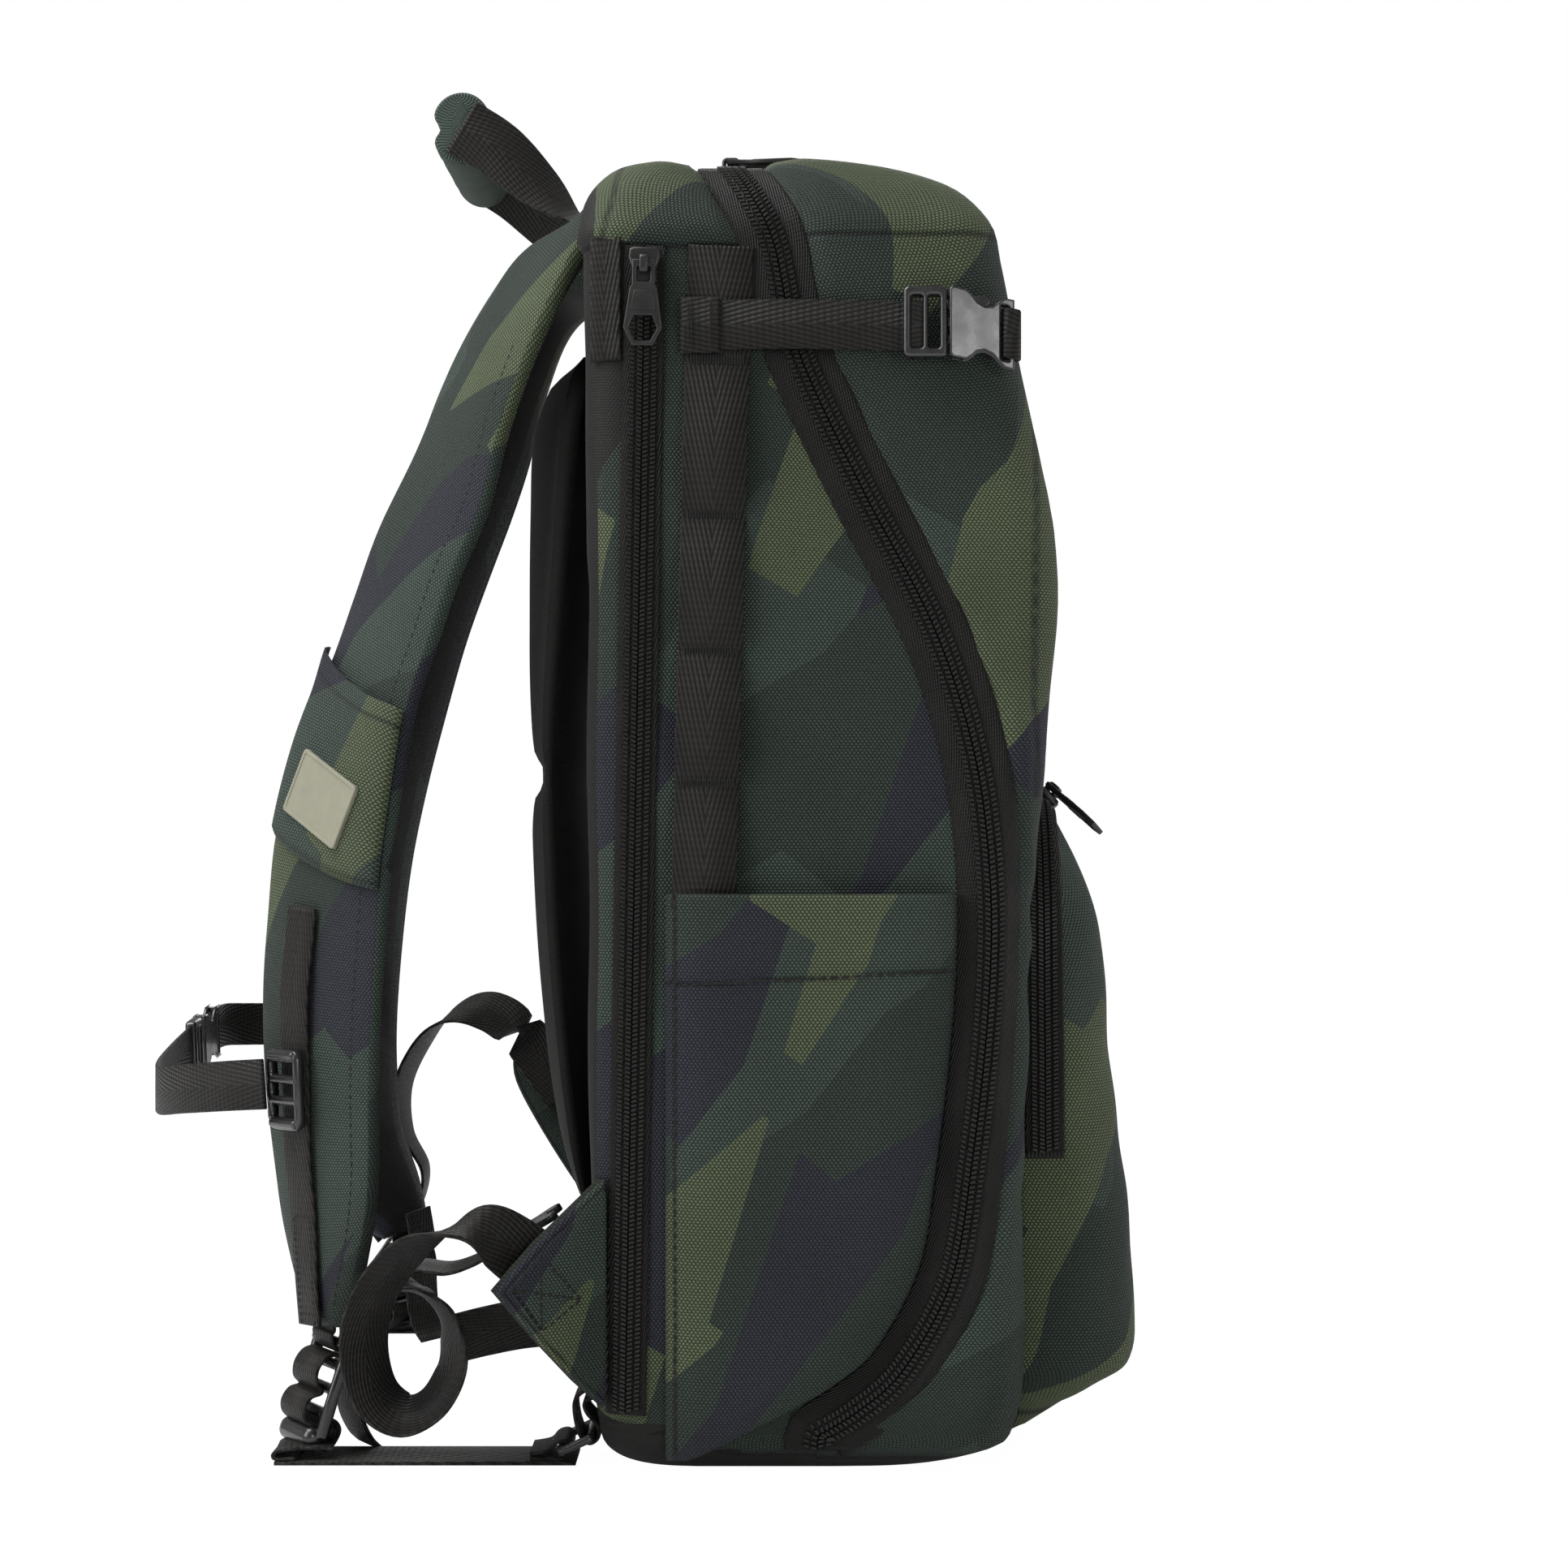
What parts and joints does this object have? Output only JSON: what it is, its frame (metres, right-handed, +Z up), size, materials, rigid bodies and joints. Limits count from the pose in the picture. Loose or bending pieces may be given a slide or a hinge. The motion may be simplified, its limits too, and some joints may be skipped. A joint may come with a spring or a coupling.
{
  "type": "tackle backpack",
  "caption": "Tall camouflage-print backpack with a clamshell front on a curved side zip, side pockets, a front pocket, padded straps, sternum strap and hip belt.",
  "frame": {"origin": "on the ground under the middle of the bag's base", "axes": "+Z up, +X to the front pocket, -X to the wearer, -Y the wearer's left side"},
  "size_m": [0.4137, 0.35, 0.563],
  "materials": {
    "camo_cloth": "woven polyester in an angular green, olive and navy print",
    "black_cloth": "smooth black lining cloth",
    "stiffener": "plain sheet",
    "zip_tape": "black woven zip tape with a moulded coil",
    "webbing": "black herringbone webbing",
    "buckle_plastic": "black moulded, slightly glossy",
    "zip_metal": "black paint",
    "grip_cloth": "plain green woven polyester over foam",
    "patch_rubber": "khaki moulded rubber, bare"
  },
  "bodies": {
    "pack": {"main_shell": "camo_cloth", "frame_sheet": "stiffener", "laptop_divider": "black_cloth", "main_zip_tape_back": "zip_tape", "laptop_zip_tape": "zip_tape", "gear_webbing_left": "webbing", "gear_webbing_right": "webbing", "side_pocket_left": "camo_cloth", "side_pocket_right": "camo_cloth", "compression_webbing_left": "webbing", "compression_webbing_right": "webbing", "back_pad": "black_cloth", "yoke_patch_left": "webbing", "yoke_patch_right": "webbing", "shoulder_strap_left": "camo_cloth", "shoulder_strap_right": "camo_cloth", "strap_lining_left": "black_cloth", "strap_lining_right": "black_cloth", "strap_pocket": "camo_cloth", "strap_patch": "patch_rubber", "strap_rail_left": "webbing", "strap_rail_right": "webbing", "ladder_lock_left": "buckle_plastic", "ladder_lock_right": "buckle_plastic", "lower_webbing_left": "webbing", "lower_webbing_right": "webbing", "anchor_ring_left": "buckle_plastic", "anchor_ring_right": "buckle_plastic"},
    "lid": {"front_lid": "camo_cloth", "main_zip_tape_front": "zip_tape", "front_pocket": "camo_cloth", "pocket_zip_tape": "zip_tape", "compression_female_left": "buckle_plastic", "compression_female_right": "buckle_plastic", "compression_tab_left": "webbing", "compression_tab_right": "webbing"},
    "compression_male_left": {"compression_male_left": "buckle_plastic"},
    "compression_male_right": {"compression_male_right": "buckle_plastic"},
    "laptop_slider": {"laptop_slider": "zip_metal"},
    "laptop_pull": {"laptop_pull": "zip_metal"},
    "main_slider_a": {"main_slider_a": "zip_metal"},
    "main_pull_a": {"main_pull_a": "zip_metal"},
    "main_slider_b": {"main_slider_b": "zip_metal"},
    "main_pull_b": {"main_pull_b": "zip_metal"},
    "pocket_slider": {"pocket_slider": "zip_metal"},
    "pocket_pull": {"pocket_pull": "zip_metal"},
    "handle": {"handle_webbing": "webbing", "handle_grip": "grip_cloth"},
    "sternum_strap": {"sternum_slider_left": "buckle_plastic", "sternum_slider_right": "buckle_plastic", "sternum_webbing_left": "webbing", "sternum_webbing_right": "webbing", "sternum_buckle_male": "buckle_plastic", "sternum_buckle_female": "buckle_plastic"},
    "hip_left": {"hip_wing_left": "camo_cloth", "hip_webbing_left": "webbing", "hip_buckle_male": "buckle_plastic"},
    "hip_right": {"hip_wing_right": "camo_cloth", "hip_webbing_right": "webbing", "hip_buckle_female": "buckle_plastic"}
  },
  "joints": [
    {"name": "lid_hinge", "type": "hinge", "parent": "pack", "child": "lid", "pos_m": [0.008, 0, 0], "axis": [0, 1, 0], "range_deg": [0, 90]},
    {"name": "compression_slide_left", "type": "slide", "parent": "pack", "child": "compression_male_left", "axis": [-1, 0, 0], "range_m": [0, 0.03]},
    {"name": "compression_slide_right", "type": "slide", "parent": "pack", "child": "compression_male_right", "axis": [-1, 0, 0], "range_m": [0, 0.03]},
    {"name": "laptop_zip_slide", "type": "slide", "parent": "pack", "child": "laptop_slider", "axis": [-0.017, 0, -0.9999], "range_m": [0, 0.42]},
    {"name": "laptop_pull_hinge", "type": "hinge", "parent": "laptop_slider", "child": "laptop_pull", "pos_m": [-0.058, -0.1576, 0.466], "axis": [-0.9999, 0, 0.017], "range_deg": [0, 160]},
    {"name": "main_zip_slide_a", "type": "slide", "parent": "pack", "child": "main_slider_a", "axis": [0, -1, 0], "range_m": [0, 0.02]},
    {"name": "main_pull_hinge_a", "type": "hinge", "parent": "main_slider_a", "child": "main_pull_a", "pos_m": [-0.026, -0.092, 0.5196], "axis": [0, -1, 0], "range_deg": [0, 170]},
    {"name": "main_zip_slide_b", "type": "slide", "parent": "pack", "child": "main_slider_b", "axis": [0, 1, 0], "range_m": [0, 0.16]},
    {"name": "main_pull_hinge_b", "type": "hinge", "parent": "main_slider_b", "child": "main_pull_b", "pos_m": [-0.026, -0.058, 0.5196], "axis": [0, -1, 0], "range_deg": [0, 170]},
    {"name": "pocket_zip_slide", "type": "slide", "parent": "lid", "child": "pocket_slider", "axis": [0, 1, 0], "range_m": [0, 0.14]},
    {"name": "pocket_pull_hinge", "type": "hinge", "parent": "pocket_slider", "child": "pocket_pull", "pos_m": [0.10759, -0.07, 0.26459], "axis": [-0.5, -0.7071, 0.5], "range_deg": [0, 120]},
    {"name": "handle_hinge", "type": "hinge", "parent": "pack", "child": "handle", "pos_m": [-0.0815, 0, 0.4995], "axis": [0, 1, 0], "range_deg": [-15, 70]},
    {"name": "sternum_slide", "type": "slide", "parent": "pack", "child": "sternum_strap", "axis": [0, 0, 1], "range_m": [-0.025, 0.025]},
    {"name": "hip_hinge_left", "type": "hinge", "parent": "pack", "child": "hip_left", "pos_m": [-0.075, -0.1485, 0.069], "axis": [0, 0, 1], "range_deg": [0, 35]},
    {"name": "hip_hinge_right", "type": "hinge", "parent": "pack", "child": "hip_right", "pos_m": [-0.075, 0.1485, 0.069], "axis": [0, 0, -1], "range_deg": [0, 60]}
  ]
}
